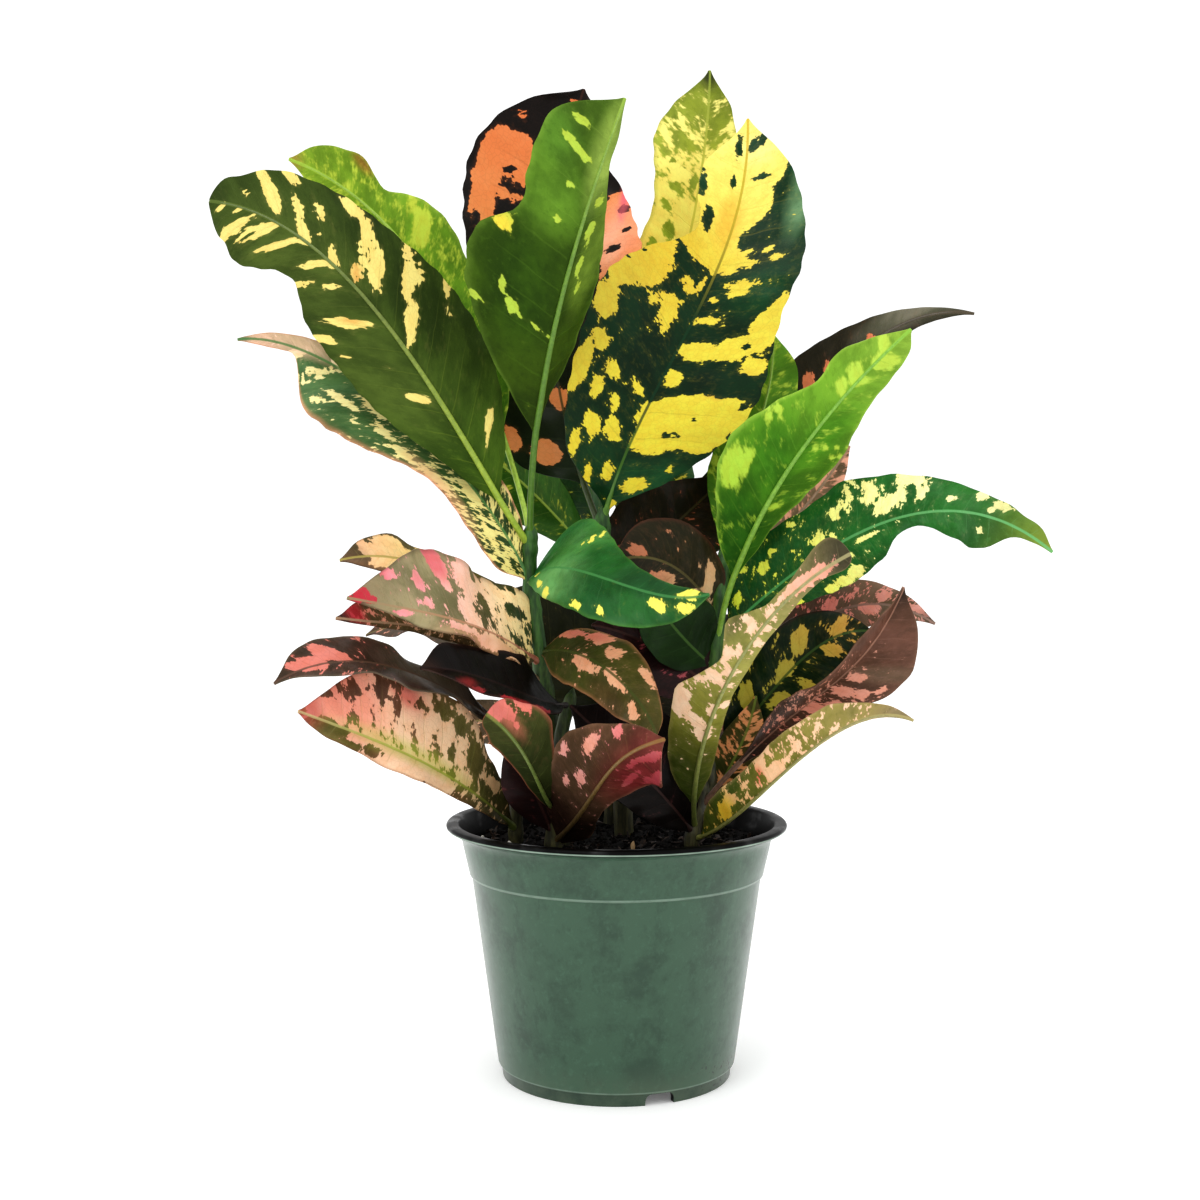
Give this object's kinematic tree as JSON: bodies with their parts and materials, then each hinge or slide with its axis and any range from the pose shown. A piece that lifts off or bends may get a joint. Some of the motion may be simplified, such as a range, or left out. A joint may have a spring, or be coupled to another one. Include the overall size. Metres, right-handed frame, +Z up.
{
  "type": "potted croton",
  "caption": "Croton house plant with broad variegated leaves on upright stems, standing in soil in a round tapered nursery pot with a flat rim.",
  "frame": {"origin": "on the ground under the middle of the plant, which is the axis of the pot", "axes": "+Z up along the pot's axis, -Y to the side that faces the viewer, +X to the viewer's right"},
  "size_m": [0.3847, 0.2239, 0.498],
  "materials": {
    "pot_plastic": "smooth satin moulded plastic, a little scuffed",
    "potting_soil": "dark damp crumbs of peat and bark",
    "leaf_green": "glossy leaf, green with yellow blotches",
    "leaf_yellow": "glossy leaf, yellow with dark green marbling",
    "leaf_maroon": "glossy leaf, maroon with pink blotches",
    "leaf_pink": "leaf faded to pink and cream, marbled with olive"
  },
  "bodies": {
    "root": {"pot": "pot_plastic", "soil": "potting_soil", "stem_left": "leaf_green", "stem_right": "leaf_green", "stem_centre": "leaf_yellow", "stem_front": "leaf_maroon", "stem_low_left": "leaf_pink", "stem_low_right": "leaf_pink", "stem_back": "leaf_green"}
  },
  "joints": []
}
